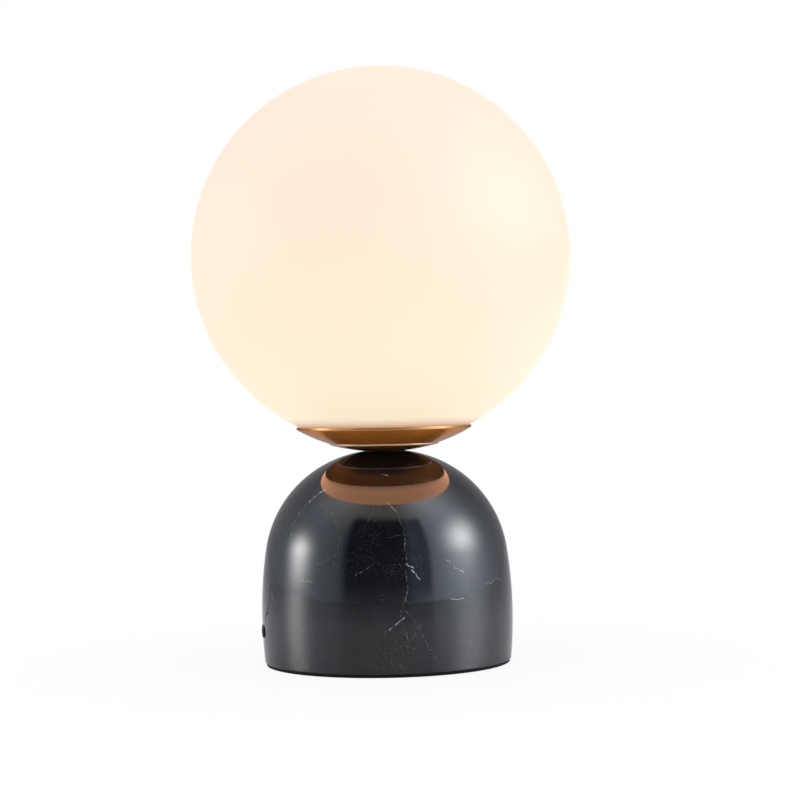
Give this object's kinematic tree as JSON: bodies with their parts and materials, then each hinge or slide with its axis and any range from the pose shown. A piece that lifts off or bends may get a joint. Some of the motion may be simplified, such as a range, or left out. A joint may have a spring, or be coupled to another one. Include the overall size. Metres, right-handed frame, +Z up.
{
  "type": "globe table lamp",
  "caption": "Small table lamp: an opal glass globe in a shallow copper dish on a polished black stone dome, with a push-in bulb inside and a side cord inlet.",
  "frame": {"origin": "on the table, under the middle of the lamp", "axes": "+Z up through the stone, the dish and the globe; -Y towards the viewer of the picture; the cord inlet is 11 degrees in front of -X"},
  "size_m": [0.15, 0.15, 0.2359],
  "materials": {
    "black_marble": "polished black marble with thin white veins",
    "black_felt": "black pressed felt",
    "black_board": "black fibre board",
    "black_rubber": "matt black rubber",
    "zinc_steel": "zinc-plated steel",
    "spring_steel": "bright spring steel",
    "copper_plate": "satin copper plating on spun brass, fine turning lines",
    "opal_glass": "opal white glass, satin outside",
    "clear_silicone": "milky silicone",
    "white_ceramic": "unglazed white porcelain",
    "bulb_ceramic": "white ceramic",
    "contact_brass": "bright brass",
    "nickel_wire": "nickel-plated wire",
    "frosted_cover": "frosted capsule, lit warm white",
    "heat_sink": "white-coated aluminium",
    "led_yellow": "yellow phosphor strip, lit",
    "white_nylon": "natural nylon",
    "brown_insulation": "brown silicone insulation",
    "blue_insulation": "blue silicone insulation"
  },
  "bodies": {
    "stand": {"marble_base": "black_marble", "base_pad": "black_felt", "base_cover": "black_board", "cord_grommet": "black_rubber", "threaded_tube": "zinc_steel", "tube_bushes": "white_nylon", "clamp_plate": "zinc_steel", "spring_washer": "zinc_steel", "base_nut": "zinc_steel", "seat_washer": "black_rubber", "dish_foot": "copper_plate", "gallery_dish": "copper_plate", "gallery_lock_washer": "spring_steel", "gallery_nut": "zinc_steel", "clip_carrier": "zinc_steel", "spring_fingers": "spring_steel", "finger_rivets": "zinc_steel", "socket_bracket": "zinc_steel", "bracket_nuts": "zinc_steel", "socket_body": "white_ceramic", "socket_contacts": "contact_brass", "socket_screw": "zinc_steel", "socket_screw_nut": "zinc_steel", "terminal_block": "white_nylon", "terminal_inserts": "contact_brass", "terminal_screws": "zinc_steel", "terminal_fixing_screw": "zinc_steel", "lead_live": "brown_insulation", "lead_neutral": "blue_insulation"},
    "globe": {"glass_globe": "opal_glass", "mouth_trim": "clear_silicone"},
    "bulb": {"bulb_base": "bulb_ceramic", "bulb_envelope": "frosted_cover", "bulb_pins": "nickel_wire", "led_post": "heat_sink", "led_strips": "led_yellow"}
  },
  "joints": [
    {"name": "globe_lift", "type": "slide", "parent": "stand", "child": "globe", "axis": [0, 0, 1], "range_m": [0, 0.11]},
    {"name": "bulb_pull", "type": "slide", "parent": "stand", "child": "bulb", "axis": [0, 0, 1], "range_m": [0, 0.02]}
  ]
}
